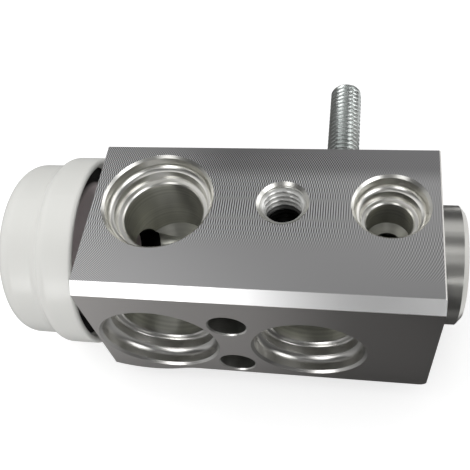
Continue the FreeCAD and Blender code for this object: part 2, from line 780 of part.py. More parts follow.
os.makedirs("parts", exist_ok=True)
for piece in pieces:
    shape = piece()
    shape.exportStep("parts/" + piece.__name__ + ".step")
    print(piece.__name__, len(shape.Solids), shape.isValid(), round(shape.Volume, 1))
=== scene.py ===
"""Looks and studio for a block-type expansion valve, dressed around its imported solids.

Everything is in metres, in the frame of the solids: X along the valve axis from the power head
to the adjusting plug, Y from the evaporator face to the stud, Z out of the pipe face. A value
whose name ends in mm is in millimetres.
"""

from __future__ import annotations

import json
import logging
import math
from dataclasses import dataclass, field
from enum import Enum
from typing import Mapping, Sequence, Union

import bmesh
import bpy
from mathutils import Matrix, Vector

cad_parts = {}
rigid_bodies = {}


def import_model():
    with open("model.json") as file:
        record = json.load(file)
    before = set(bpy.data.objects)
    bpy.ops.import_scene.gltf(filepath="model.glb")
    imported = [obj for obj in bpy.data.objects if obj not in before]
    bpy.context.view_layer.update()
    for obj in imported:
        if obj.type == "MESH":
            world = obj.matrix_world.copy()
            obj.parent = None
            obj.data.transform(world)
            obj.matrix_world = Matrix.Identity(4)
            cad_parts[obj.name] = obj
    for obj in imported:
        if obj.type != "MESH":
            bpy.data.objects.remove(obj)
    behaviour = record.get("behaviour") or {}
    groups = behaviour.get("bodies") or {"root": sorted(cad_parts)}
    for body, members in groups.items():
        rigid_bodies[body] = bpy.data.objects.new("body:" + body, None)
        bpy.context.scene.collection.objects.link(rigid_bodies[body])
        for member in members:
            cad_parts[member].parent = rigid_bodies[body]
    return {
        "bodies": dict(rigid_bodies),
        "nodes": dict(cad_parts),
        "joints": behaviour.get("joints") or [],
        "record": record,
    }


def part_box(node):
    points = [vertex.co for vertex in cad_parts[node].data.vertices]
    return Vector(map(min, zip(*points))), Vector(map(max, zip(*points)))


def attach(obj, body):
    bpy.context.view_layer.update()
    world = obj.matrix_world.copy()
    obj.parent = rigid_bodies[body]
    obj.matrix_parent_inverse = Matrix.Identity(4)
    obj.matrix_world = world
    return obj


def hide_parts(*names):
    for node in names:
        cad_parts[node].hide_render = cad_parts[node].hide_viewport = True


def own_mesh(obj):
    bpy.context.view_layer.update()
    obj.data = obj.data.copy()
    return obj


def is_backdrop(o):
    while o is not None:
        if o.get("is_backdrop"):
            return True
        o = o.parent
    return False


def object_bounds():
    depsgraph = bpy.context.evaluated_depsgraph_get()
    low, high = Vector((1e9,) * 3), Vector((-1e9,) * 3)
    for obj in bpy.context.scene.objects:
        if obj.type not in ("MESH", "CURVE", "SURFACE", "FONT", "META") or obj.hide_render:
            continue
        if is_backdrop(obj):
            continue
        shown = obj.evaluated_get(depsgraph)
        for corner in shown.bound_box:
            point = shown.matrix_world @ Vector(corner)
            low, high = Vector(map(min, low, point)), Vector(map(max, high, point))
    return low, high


LOG = logging.getLogger("expansion_valve")

MM = 0.001
WELD = 0.0005 * MM
MARK_DEPTH = 0.02 * MM

MATH = "ShaderNodeMath"
MIX = "ShaderNodeMix"
NOISE = "ShaderNodeTexNoise"
RANGE = "ShaderNodeMapRange"
VECTOR_MATH = "ShaderNodeVectorMath"

Node = bpy.types.Node
Tree = bpy.types.NodeTree
Socket = bpy.types.NodeSocket
Value = Union[float, str, Sequence[float], Node, Socket, bpy.types.Material]
Output = Union[Node, Socket]
Span = tuple[float, float]
Point = tuple[float, float, float]


def linear(colour: str) -> tuple[float, float, float, float]:
    """Turn an sRGB hex colour into linear light.

    Args:
        colour: Six hex digits after a hash sign.

    Returns:
        Red, green, blue and an alpha of 1, in linear light.
    """
    shares = [int(colour[place : place + 2], 16) / 255 for place in (1, 3, 5)]
    red, green, blue = (
        share / 12.92 if share <= 0.04045 else ((share + 0.055) / 1.055) ** 2.4 for share in shares
    )
    return (red, green, blue, 1.0)


def add_node(
    tree: Tree,
    kind: str,
    *values: Value,
    named: Mapping[str, Value] | None = None,
    **settings: object,
) -> Node:
    """Add a node to a tree, with its settings made and its sockets filled.

    Args:
        tree: The node tree that gets the node.
        kind: The node's type name.
        values: What fills the sockets in use, in their order. A node stands for its first output.
        named: What fills a socket, by the socket's name.
        settings: Property values by name.

    Returns:
        The new node.
    """
    node = tree.nodes.new(kind)
    for name, setting in settings.items():
        setattr(node, name, setting)
    filled = list(zip((socket for socket in node.inputs if socket.enabled), values))
    filled += [(node.inputs[name], value) for name, value in (named or {}).items()]
    for socket, value in filled:
        if isinstance(value, Node):
            value = next(output for output in value.outputs if output.enabled)
        if isinstance(value, Socket):
            tree.links.new(value, socket)
        else:
            socket.default_value = value
    return node


def new_material(name: str) -> tuple[bpy.types.Material, Tree]:
    """Make an empty node material.

    Args:
        name: The material's name.

    Returns:
        The material and its cleared node tree.
    """
    material = bpy.data.materials.new(name)
    material.use_nodes = True
    material.node_tree.nodes.clear()
    return material, material.node_tree


def add_object(name: str, data: bpy.types.ID) -> bpy.types.Object:
    """Put a mesh, a lamp or a camera into the scene.

    Args:
        name: The object's name.
        data: What it shows.

    Returns:
        The new object, at the origin.
    """
    item = bpy.data.objects.new(name, data)
    bpy.context.scene.collection.objects.link(item)
    return item


def direction(azimuth: float, elevation: float) -> Vector:
    """Give the direction towards a place round the object.

    Args:
        azimuth: Degrees from the front, where 90 lies on the plug's side.
        elevation: Degrees above the floor.

    Returns:
        A unit vector away from the object.
    """
    turn, rise = math.radians(azimuth), math.radians(elevation)
    flat = math.cos(rise)
    return Vector((math.sin(turn) * flat, -math.cos(turn) * flat, math.sin(rise)))


def axis_distance(tree: Tree, place: Socket, centre_mm: Point, across: Point) -> Node:
    """Measure how far a point lies from an axis.

    Args:
        tree: The material's node tree.
        place: The object coordinates.
        centre_mm: Where the axis lies, with 0 for the coordinate along it.
        across: 1 for each coordinate that counts, and 0 for the one along the axis.

    Returns:
        The node that gives the distance.
    """
    away = {"Location": tuple(-middle * MM for middle in centre_mm), "Scale": across}
    centred = add_node(tree, "ShaderNodeMapping", place, named=away)
    return add_node(tree, VECTOR_MATH, centred, operation="LENGTH")


class ThreadSide(Enum):
    """Which way a thread faces."""

    OUTSIDE = "outside"
    INSIDE = "inside"


@dataclass(frozen=True)
class Finish:
    """A material, named for its stuff and for how its surface was made."""

    name: str

    def look(self, tree: Tree, place: Socket) -> dict[str, Value]:
        """Say how the surface looks.

        Args:
            tree: The material's node tree.
            place: The object coordinates.

        Returns:
            What goes into the shader's sockets, by name.
        """
        raise NotImplementedError

    def material(self) -> bpy.types.Material:
        """Build the finish's material.

        Returns:
            The material, ready to be given to a piece.
        """
        material, tree = new_material(self.name)
        place = add_node(tree, "ShaderNodeTexCoord").outputs["Object"]
        shader = add_node(tree, "ShaderNodeBsdfPrincipled", named=self.look(tree, place))
        add_node(tree, "ShaderNodeOutputMaterial", shader)
        return material


@dataclass(frozen=True)
class PlainFinish(Finish):
    """A finish of one colour, whose fine grain breaks up the reflections a little.

    The grain is really finer, and is drawn as coarse as it needs to show.
    """

    colour: str
    roughness: float
    metallic: float = 0.0
    grain_mm: float = 0.15
    grain_depth: float = 0.04

    def tint(self, tree: Tree, place: Socket) -> Value:
        """Give the colour, here the same all over.

        Args:
            tree: The material's node tree.
            place: The object coordinates.

        Returns:
            The colour, or the node that gives it.
        """
        return linear(self.colour)

    def look(self, tree: Tree, place: Socket) -> dict[str, Value]:
        """Say how the surface looks: its colour under an even grain.

        Args:
            tree: The material's node tree.
            place: The object coordinates.

        Returns:
            What goes into the shader's sockets, by name.
        """
        grain = add_node(tree, NOISE, place, 1 / (self.grain_mm * MM))
        relief = {"Height": grain, "Strength": self.grain_depth, "Distance": MARK_DEPTH}
        return {
            "Base Color": self.tint(tree, place),
            "Roughness": self.roughness,
            "Metallic": self.metallic,
            "Normal": add_node(tree, "ShaderNodeBump", named=relief),
        }


@dataclass(frozen=True)
class PressedFinish(PlainFinish):
    """Pressed stainless: dull and faintly pink, with painted shade at its rim under the cap's lip.
    """

    # Painted shade at the rim, where the cap's lip shades the sheet.
    rim_shade_colour: str = "#1b1819"
    rim_mm: Span = (13.1, 13.9)
    axis_mm: Point = (0.0, 18.9, 0.0)

    def tint(self, tree: Tree, place: Socket) -> Value:
        """Give the colour, with painted shade towards the rim.

        Args:
            tree: The material's node tree.
            place: The object coordinates.

        Returns:
            The node that gives the colour.
        """
        radius = axis_distance(tree, place, self.axis_mm, (0.0, 1.0, 1.0))
        start, end = self.rim_mm
        rim = add_node(tree, RANGE, radius, start * MM, end * MM)
        colours = linear(self.colour), linear(self.rim_shade_colour)
        return add_node(tree, MIX, rim, *colours, data_type="RGBA")


@dataclass(frozen=True)
class Cut:
    """How one kind of cut surface looks."""

    colour: str
    roughness: float
    metallic: float = 1.0


@dataclass(frozen=True)
class MachinedBlockFinish(Finish):
    """Aluminium bar with milled faces and ports cut by form tools.

    Bare aluminium is a pale, slightly cool grey. The pipe face carries the crossed arcs of a fly
    cutter, which fade where the last pass wiped them out, and is darker in a strip at the back.
    The port seats are fine and bright on the pipe face and painted darker on the front one, as
    shade. The drilled passages behind them are painted darker still, as shade, over fine rings,
    and the clamp hole's bottom and the head bore get a dark painted shade. The front edge's bevel
    has long streaks. The rings and streaks are really a tenth of a millimetre or finer, and are
    drawn as coarse as they need to show.
    """

    name: str = "machined_aluminium_block"
    skin: Cut = Cut("#b7b4b2", 0.36)
    milled: Cut = Cut("#ffffff", 0.33)
    faced: Cut = Cut("#cfcecd", 0.3)
    chamfer: Cut = Cut("#e6e6e6", 0.28)
    seat: Cut = Cut("#f1f0eb", 0.28)
    # The passages' colour is a painted shade, darker than the seats.
    passage: Cut = Cut("#c4c4bb", 0.32, 0.8)
    drilled: Cut = Cut("#c4c4c0", 0.32)
    # A dark painted shade for the clamp hole's bottom and the head bore.
    dark: Cut = Cut("#1c1c1b", 0.32)
    groove_colour: str = "#5d5b5e"
    # The front ports' seats are painted darker than the pipe face's, as shade.
    front_seat_shade_colour: str = "#c8c7c4"
    # The darker rings within the passages' painted shade.
    shaded_ring_colour: str = "#aeaea6"

    # Where the faces lie, and how near a point is to one that counts as on it.
    pipe_face_mm: float = 17.95
    back_face_mm: float = 30.8
    underside_mm: float = -11.9
    middle_mm: float = 4.7
    half_length_mm: float = 30.0
    chamfer_plane_mm: float = 16.05
    face_margin_mm: float = 0.03
    axis_mm: Point = (0.0, 18.9, 0.0)

    # Inside: where the passages' painted shade starts, and the holes with a dark painted shade.
    passage_mm: Span = (5.05, 6.2)
    bolt_reach_mm: Span = (-3.6, 3.6)
    clamp_bottom_mm: tuple[Span, ...] = ((4.45, 12.65), (14.0, 23.5), (5.5, 9.5))
    head_bore_mm: tuple[Span, ...] = ((-25.3, -18.3), (0.0, 4.68))

    # The fly cutter's arcs, and how deep they and the rings and streaks are.
    cutter_radius_mm: float = 21.0
    cutter_path_mm: float = 17.5
    tooth_feed_mm: float = 0.42
    trailing_mm: Span = (5.0, 15.0)
    arc_swing: float = 0.34
    streak_mm: float = 0.12
    streak_stretch: float = 0.04
    ring_mm: float = 0.5
    ring_depth: float = 0.3
    relief: float = 0.22

    # Where the arcs start, fade and stop, each from none to all, and what is left of them.
    arcs_front_mm: Span = (8.5, 13.5)
    arcs_right_mm: Span = (10.0, 29.0)
    arcs_right_loss: float = 0.85
    arcs_rear_mm: Span = (30.6, 28.6)
    left_corner_mm: Span = (-16.0, -22.0)
    left_corner_share: float = 0.8
    right_corner_mm: Span = (23.0, 29.0)
    corner_front_mm: Span = (4.0, 6.0)
    corner_back_mm: Span = (17.0, 11.0)
    right_corner_share: float = 0.55

    # The darker strip at the back: where it lies, how dark it is and what it takes off the arcs.
    dim_back_mm: Span = (23.0, 27.0)
    dim_right_mm: Span = (-16.0, 0.0)
    dim_arc_loss: float = 0.35
    dim_level: float = 0.26
    smooth_level: float = 0.5

    def rises(self, tree: Tree, *places: tuple[Output, Span]) -> list[Node]:
        """Rise smoothly from 0 to 1 along each of some coordinates.

        Args:
            tree: The material's node tree.
            places: The coordinates, in metres, each with where its rise starts and ends.

        Returns:
            A node for each of them.
        """
        return [
            add_node(tree, RANGE, place, start * MM, end * MM, interpolation_type="SMOOTHSTEP")
            for place, (start, end) in places
        ]

    def within(self, tree: Tree, places: Sequence[Output], spans_mm: Sequence[Span]) -> Value:
        """Give 1 inside a box, and 0 outside it.

        Args:
            tree: The material's node tree.
            places: The coordinates that count, in metres.
            spans_mm: Where the box starts and ends on each of them.

        Returns:
            The mask.
        """
        inside: Value = 1.0
        for place, (start, end) in zip(places, spans_mm):
            middle, reach = (start + end) / 2 * MM, (end - start) / 2 * MM
            near = add_node(tree, MATH, place, middle, reach, operation="COMPARE")
            inside = add_node(tree, MATH, near, inside, operation="MULTIPLY")
        return inside

    def faces(self, tree: Tree, x: Socket, y: Socket, z: Socket) -> tuple[Node, Node, Node, Node]:
        """Find the block's outer faces.

        Args:
            tree: The material's node tree.
            x: The coordinate along the block.
            y: The coordinate from the front face to the back one.
            z: The height.

        Returns:
            The masks of the ends, the bevel, the pipe face and the skin on the other sides.
        """
        from_middle = add_node(tree, MATH, x, self.middle_mm * MM, operation="SUBTRACT")
        out = add_node(tree, MATH, from_middle, operation="ABSOLUTE")
        slant = add_node(tree, MATH, z, y, operation="SUBTRACT")
        margin = self.face_margin_mm
        faced, chamfer, milled, back, front, under = (
            add_node(tree, MATH, value, limit_mm * MM, operation=test)
            for value, test, limit_mm in (
                (out, "GREATER_THAN", self.half_length_mm - margin),
                (slant, "GREATER_THAN", self.chamfer_plane_mm - margin),
                (z, "GREATER_THAN", self.pipe_face_mm - margin),
                (y, "GREATER_THAN", self.back_face_mm - margin),
                (y, "LESS_THAN", margin),
                (z, "LESS_THAN", self.underside_mm + margin),
            )
        )
        sides = add_node(tree, MATH, front, back, operation="MAXIMUM")
        return faced, chamfer, milled, add_node(tree, MATH, sides, under, operation="MAXIMUM")

    def tool_arcs(self, tree: Tree, along: Socket, across: Socket) -> Node:
        """Draw the crossed arcs that a fly cutter leaves as it goes along the face.

        Args:
            tree: The material's node tree.
            along: The coordinate in the feed's direction.
            across: The coordinate across the feed.

        Returns:
            A value that swings between 0 and 1 from arc to arc.
        """
        radius = self.cutter_radius_mm * MM
        offset = add_node(tree, MATH, across, self.cutter_path_mm * MM, operation="SUBTRACT")
        square = add_node(tree, MATH, offset, offset, operation="MULTIPLY")
        rest = add_node(tree, MATH, radius * radius, square, operation="SUBTRACT")
        reach = add_node(tree, MATH, rest, operation="SQRT")
        waves = []
        for operation in ("ADD", "SUBTRACT"):
            phase = add_node(tree, MATH, along, reach, operation=operation)
            turns = math.tau / (self.tooth_feed_mm * MM)
            angle = add_node(tree, MATH, phase, turns, operation="MULTIPLY")
            waves.append(add_node(tree, MATH, angle, operation="SINE"))
        (trailing,) = self.rises(tree, (across, self.trailing_mm))
        back_cut = add_node(tree, MATH, waves[0], trailing, operation="MULTIPLY")
        both = add_node(tree, MATH, back_cut, waves[1], operation="ADD")
        return add_node(tree, MATH, both, self.arc_swing, 0.5, operation="MULTIPLY_ADD")

    def mark_strength(self, tree: Tree, x: Socket, y: Socket) -> Node:
        """Say how deep the cutter's arcs are: clear at the left, wiped out in front of the ports.

        Args:
            tree: The material's node tree.
            x: The coordinate along the block.
            y: The coordinate from the front face to the back one.

        Returns:
            A share from 0 to 1.
        """
        front, right, rear, left_corner, right_corner, corner_front, corner_back = self.rises(
            tree,
            (y, self.arcs_front_mm),
            (x, self.arcs_right_mm),
            (y, self.arcs_rear_mm),
            (x, self.left_corner_mm),
            (x, self.right_corner_mm),
            (y, self.corner_front_mm),
            (y, self.corner_back_mm),
        )
        kept = add_node(tree, MATH, right, -self.arcs_right_loss, 1.0, operation="MULTIPLY_ADD")
        broad = add_node(tree, MATH, front, kept, operation="MULTIPLY")
        broad = add_node(tree, MATH, broad, rear, operation="MULTIPLY")
        left = add_node(tree, MATH, left_corner, self.left_corner_share, operation="MULTIPLY")
        strip = add_node(tree, MATH, corner_front, corner_back, operation="MULTIPLY")
        strip = add_node(tree, MATH, strip, self.right_corner_share, operation="MULTIPLY")
        corner = add_node(tree, MATH, right_corner, strip, operation="MULTIPLY")
        corners = add_node(tree, MATH, left, corner, operation="MAXIMUM")
        return add_node(tree, MATH, broad, corners, operation="MAXIMUM")

    def marks(self, tree: Tree, x: Socket, y: Socket) -> Node:
        """Lay the arcs on the pipe face, shallower and darker in a strip at the back.

        Args:
            tree: The material's node tree.
            x: The coordinate along the block.
            y: The coordinate from the front face to the back one.

        Returns:
            A value from 0 in a groove to 1 on a ridge.
        """
        behind, beside = self.rises(tree, (y, self.dim_back_mm), (x, self.dim_right_mm))
        dim_strip = add_node(tree, MATH, behind, beside, operation="MULTIPLY")
        kept = add_node(tree, MATH, dim_strip, -self.dim_arc_loss, 1.0, operation="MULTIPLY_ADD")
        smooth = self.smooth_level
        darker = self.dim_level - smooth
        level = add_node(tree, MATH, dim_strip, darker, smooth, operation="MULTIPLY_ADD")
        strength = self.mark_strength(tree, x, y)
        strength = add_node(tree, MATH, strength, kept, operation="MULTIPLY")
        raised = add_node(tree, MATH, self.tool_arcs(tree, x, y), smooth, operation="SUBTRACT")
        return add_node(tree, MATH, raised, strength, level, operation="MULTIPLY_ADD")

    def look(self, tree: Tree, place: Socket) -> dict[str, Value]:
        """Say how the surface looks: one layer over another, from the seats to the skin.

        Args:
            tree: The material's node tree.
            place: The object coordinates.

        Returns:
            What goes into the shader's sockets, by name.
        """
        x, y, z = add_node(tree, "ShaderNodeSeparateXYZ", place).outputs
        radius = axis_distance(tree, place, self.axis_mm, (0.0, 1.0, 1.0))
        faced, chamfer, milled, skin = self.faces(tree, x, y, z)
        marks = self.marks(tree, x, y)

        below = add_node(tree, MATH, self.pipe_face_mm * MM, z, operation="SUBTRACT")
        depth = add_node(tree, MATH, below, y, operation="MINIMUM")
        # The passages below the seats get a painted shade.
        (passage,) = self.rises(tree, (depth, self.passage_mm))
        drilled = self.within(tree, (x,), (self.bolt_reach_mm,))
        # The clamp hole's bottom and the head bore get a dark painted shade.
        clamp_bottom = self.within(tree, (x, y, z), self.clamp_bottom_mm)
        head_bore = self.within(tree, (x, radius), self.head_bore_mm)
        dark = add_node(tree, MATH, clamp_bottom, head_bore, operation="MAXIMUM")
        rings = add_node(
            tree, NOISE, depth, 1 / (self.ring_mm * MM), 0.0, noise_dimensions="1D"
        )
        # 1 on the front ports, whose seats get a painted shade.
        facing_front = add_node(tree, MATH, below, y, operation="GREATER_THAN")

        tint, shaded_rings, grooved = (
            add_node(tree, MIX, share, linear(first), linear(second), data_type="RGBA")
            for share, first, second in (
                (facing_front, self.seat.colour, self.front_seat_shade_colour),
                (rings, self.passage.colour, self.shaded_ring_colour),
                (marks, self.groove_colour, self.milled.colour),
            )
        )
        rough: Value = self.seat.roughness
        metal: Value = self.seat.metallic
        for mask, cut, colour in (
            (passage, self.passage, shaded_rings),
            (drilled, self.drilled, linear(self.drilled.colour)),
            (dark, self.dark, linear(self.dark.colour)),
            (faced, self.faced, linear(self.faced.colour)),
            (chamfer, self.chamfer, linear(self.chamfer.colour)),
            (milled, self.milled, grooved),
            (skin, self.skin, linear(self.skin.colour)),
        ):
            tint = add_node(tree, MIX, mask, tint, colour, data_type="RGBA")
            rough = add_node(tree, MIX, mask, rough, cut.roughness)
            metal = add_node(tree, MIX, mask, metal, cut.metallic)

        outside = faced
        for mask in (chamfer, milled, skin):
            outside = add_node(tree, MATH, outside, mask, operation="MAXIMUM")
        stretch = {"Scale": (self.streak_stretch, 1.0, 1.0)}
        drawn = add_node(tree, "ShaderNodeMapping", place, named=stretch)
        streaks = add_node(tree, NOISE, drawn, 1 / (self.streak_mm * MM), 1.0)
        facing = add_node(
            tree, NOISE, radius, 1 / (2 * self.streak_mm * MM), noise_dimensions="1D"
        )
        height = add_node(tree, MATH, rings, self.ring_depth, operation="MULTIPLY")
        for mask, other in ((outside, streaks), (faced, facing), (milled, marks)):
            height = add_node(tree, MIX, mask, height, other)
        relief = {"Height": height, "Strength": self.relief, "Distance": MARK_DEPTH}
        return {
            "Base Color": tint,
            "Roughness": rough,
            "Metallic": metal,
            "Normal": add_node(tree, "ShaderNodeBump", named=relief),
        }


@dataclass(frozen=True)
class TurnedFinish(Finish):
    """Bar stock turned in a lathe: fine rings round the valve axis and a soft bright sheen."""

    colour: str
    roughness: float = 0.28
    # The tool's feed, really about 0.1 mm, is drawn coarser so that it shows.
    feed_mm: float = 0.18
    relief: float = 0.25
    axis_mm: Point = (0.0, 18.9, 0.0)

    def look(self, tree: Tree, place: Socket) -> dict[str, Value]:
        """Say how the surface looks: the tool's feed runs along the bar and across its ends.

        Args:
            tree: The material's node tree.
            place: The object coordinates.

        Returns:
            What goes into the shader's sockets, by name.
        """
        x = add_node(tree, "ShaderNodeSeparateXYZ", place)
        radius = axis_distance(tree, place, self.axis_mm, (0.0, 1.0, 1.0))
        travel = add_node(tree, MATH, x, radius, operation="ADD")
        grooves = add_node(
            tree, NOISE, travel, 1 / (self.feed_mm * MM), 2.0, noise_dimensions="1D"
        )
        relief = {"Height": grooves, "Strength": self.relief, "Distance": MARK_DEPTH}
        return {
            "Base Color": linear(self.colour),
            "Roughness": self.roughness,
            "Metallic": 1.0,
            "Normal": add_node(tree, "ShaderNodeBump", named=relief),
        }


@dataclass(frozen=True)
class MouldedCapFinish(Finish):
    """Natural polypropylene, injection moulded: milky, slightly see-through and softly glossy."""

    name: str = "milky_polypropylene"
    colour: str = "#e6e6e2"
    roughness: float = 0.26
    ior: float = 1.49
    see_through: float = 0.35
    depth_mm: float = 1.2

    def look(self, tree: Tree, place: Socket) -> dict[str, Value]:
        """Say how the surface looks: light goes in a little and comes out beside.

        Args:
            tree: The material's node tree.
            place: The object coordinates.

        Returns:
            What goes into the shader's sockets, by name.
        """
        return {
            "Base Color": linear(self.colour),
            "Roughness": self.roughness,
            "IOR": self.ior,
            "Subsurface Weight": self.see_through,
            "Subsurface Radius": (1.0, 1.0, 1.0),
            "Subsurface Scale": self.depth_mm * MM,
        }


@dataclass(frozen=True)
class TappedFinish(Finish):
    """A tapped thread: bright at the mouth, with painted shade in its roots and on deeper turns."""

    name: str = "tapped_aluminium"
    mouth_colour: str = "#fbfbf9"
    # Painted shade in the thread's roots.
    root_shade_colour: str = "#bcbcb6"
    # Painted shade on the turns below the light's reach.
    deep_shade_colour: str = "#121211"
    roughness: float = 0.34
    metallic: float = 0.8
    light_mm: Span = (11.0, 13.8)
    root_mm: Span = (3.5, 4.0)
    axis_mm: Point = (8.55, 18.9, 0.0)

    def look(self, tree: Tree, place: Socket) -> dict[str, Value]:
        """Say how the surface looks: painted shade in the roots, and dark below the light's reach.

        Args:
            tree: The material's node tree.
            place: The object coordinates.

        Returns:
            What goes into the shader's sockets, by name.
        """
        height = add_node(tree, "ShaderNodeSeparateXYZ", place).outputs["Z"]
        radius = axis_distance(tree, place, self.axis_mm, (1.0, 1.0, 0.0))
        start, end = self.root_mm
        root = add_node(tree, RANGE, radius, start * MM, end * MM)
        colours = linear(self.mouth_colour), linear(self.root_shade_colour)
        turned = add_node(tree, MIX, root, *colours, data_type="RGBA")
        low, high = self.light_mm
        lit = add_node(
            tree, RANGE, height, low * MM, high * MM, interpolation_type="SMOOTHSTEP"
        )
        return {
            "Base Color": add_node(
                tree, MIX, lit, linear(self.deep_shade_colour), turned, data_type="RGBA"
            ),
            "Roughness": self.roughness,
            "Metallic": self.metallic,
        }


@dataclass
class Threads:
    """A thread that the solids leave plain, as a turned or tapped surface.

    Its sizes are the crest's and the root's radius. On an inside thread the larger one is also
    the back wall's.
    """

    side: ThreadSide
    pitch: float
    major: float
    minor: float
    length: float
    chamfer: float
    columns: int = 64
    rows_per_turn: int = 12
    spare_rows: int = 4
    steepness: float = 3.0
    root_cut: float = 0.3
    sharp_degrees: float = 40.0

    def tree(self) -> tuple[Tree, dict[str, str]]:
        """Build the node tree that rolls a grid of points into a threaded surface along +Z.

        Returns:
            The tree, and the identifier of each of its inputs by name.
        """
        tree = bpy.data.node_groups.new("thread_" + self.side.value, "GeometryNodeTree")
        keys = {}
        for kind, names in (
            ("NodeSocketFloat", ("Major radius", "Minor radius", "Pitch", "Length", "Chamfer")),
            ("NodeSocketInt", ("Rows", "Columns")),
            ("NodeSocketMaterial", ("Finish",)),
        ):
            for name in names:
                socket = tree.interface.new_socket(name=name, in_out="INPUT", socket_type=kind)
                keys[name] = socket.identifier
        kind = "NodeSocketGeometry"
        tree.interface.new_socket(name="Geometry", in_out="OUTPUT", socket_type=kind)
        given = add_node(tree, "NodeGroupInput").outputs
        grid = add_node(tree, "GeometryNodeMeshGrid", 1.0, 1.0, given["Columns"], given["Rows"])
        place = add_node(tree, "GeometryNodeInputPosition")
        across, up, _ = add_node(tree, "ShaderNodeSeparateXYZ", place).outputs
        share = add_node(tree, MATH, across, 0.5, operation="ADD")
        climb = add_node(tree, MATH, up, 0.5, operation="ADD")
        last = add_node(tree, MATH, given["Rows"], 1.0, operation="SUBTRACT")
        row = add_node(tree, MATH, climb, last, operation="MULTIPLY")
        along, closes = self.travel(tree, row, last)
        length = add_node(tree, MATH, along, given["Length"], operation="MULTIPLY")
        major, minor = given["Major radius"], given["Minor radius"]
        height = add_node(tree, MATH, major, minor, operation="SUBTRACT")
        ridge = self.ridge(tree, length, share, given["Pitch"])
        radius = add_node(tree, MATH, ridge, height, minor, operation="MULTIPLY_ADD")
        radius = self.run_out(tree, radius, length, given)
        closed_radius = 0.0 if self.side is ThreadSide.OUTSIDE else major
        radius = add_node(tree, MIX, closes, radius, closed_radius)
        angle = add_node(tree, MATH, share, math.tau, operation="MULTIPLY")
        waves = [add_node(tree, MATH, angle, operation=wave) for wave in ("COSINE", "SINE")]
        parts = [add_node(tree, MATH, wave, radius, operation="MULTIPLY") for wave in waves]
        spot = add_node(tree, "ShaderNodeCombineXYZ", *parts, length)
        rolled = add_node(tree, "GeometryNodeSetPosition", grid, named={"Position": spot})
        welded = add_node(tree, "GeometryNodeMergeByDistance", rolled, named={"Distance": WELD})
        single = add_node(tree, "GeometryNodeRealizeInstances", welded)
        finish = {"Material": given["Finish"]}
        dressed = add_node(tree, "GeometryNodeSetMaterial", single, named=finish)
        add_node(tree, "NodeGroupOutput", dressed)
        return tree, keys

    def travel(self, tree: Tree, row: Node, last: Node) -> tuple[Node, Node]:
        """Work out how far along the thread a row of points lies.

        An outside thread has one row more at each end, on its axis. An inside one has three more
        at its end: two on the back wall, and the last on the mouth again.

        Args:
            tree: The thread's node tree.
            row: The row's number.
            last: The number of the last row.

        Returns:
            The share of the length, and 1 for a row on the axis or on the back wall.
        """
        outside = self.side is ThreadSide.OUTSIDE
        before, extra = (1.0, 2.0) if outside else (0.0, 3.0)
        span = add_node(tree, MATH, last, extra, operation="SUBTRACT")
        shifted = add_node(tree, MATH, row, before, operation="SUBTRACT")
        along = add_node(tree, MATH, shifted, span, operation="DIVIDE", use_clamp=True)
        from_end = add_node(tree, MATH, last, row, operation="SUBTRACT")
        if outside:
            nearest = add_node(tree, MATH, row, from_end, operation="MINIMUM")
            return along, add_node(tree, MATH, nearest, 0.5, operation="LESS_THAN")
        # The last two rows are back at the mouth, and the two before the last are on the wall.
        onward = add_node(tree, MATH, from_end, 1.5, operation="GREATER_THAN")
        along = add_node(tree, MATH, along, onward, operation="MULTIPLY")
        return along, add_node(tree, MATH, from_end, 1.5, 0.6, operation="COMPARE")

    def ridge(self, tree: Tree, length: Node, share: Node, pitch: Socket) -> Node:
        """Give the height of the thread at a point, from 0 in the root to 1 on the crest.

        Args:
            tree: The thread's node tree.
            length: The distance along the axis.
            share: The share of a turn round the axis.
            pitch: The thread's pitch.

        Returns:
            The node that gives the height.
        """
        turns = add_node(tree, MATH, length, pitch, operation="DIVIDE")
        phase = add_node(tree, MATH, turns, share, operation="SUBTRACT")
        slope = add_node(tree, MATH, phase, 0.5, operation="PINGPONG")
        flank = (slope, self.steepness, -self.root_cut)
        return add_node(tree, MATH, *flank, operation="MULTIPLY_ADD", use_clamp=True)

    def run_out(self, tree: Tree, radius: Node, length: Node, given: bpy.types.NodeOutputs) -> Node:
        """Cut the thread off at its chamfered ends.

        Args:
            tree: The thread's node tree.
            radius: The thread's radius at a point.
            length: The distance along the axis.
            given: The tree's inputs.

        Returns:
            The radius after the chamfers.
        """
        beyond = add_node(tree, MATH, given["Length"], length, operation="SUBTRACT")
        near = add_node(tree, MATH, length, beyond, operation="MINIMUM")
        cut = add_node(tree, MATH, given["Chamfer"], near, operation="SUBTRACT")
        depth = add_node(tree, MATH, cut, 0.0, operation="MAXIMUM")
        if self.side is ThreadSide.OUTSIDE:
            limit = add_node(tree, MATH, given["Major radius"], depth, operation="SUBTRACT")
            return add_node(tree, MATH, radius, limit, operation="MINIMUM")
        limit = add_node(tree, MATH, given["Minor radius"], depth, operation="ADD")
        wide = add_node(tree, MATH, radius, limit, operation="MAXIMUM")
        return add_node(tree, MATH, wide, given["Major radius"], operation="MINIMUM")

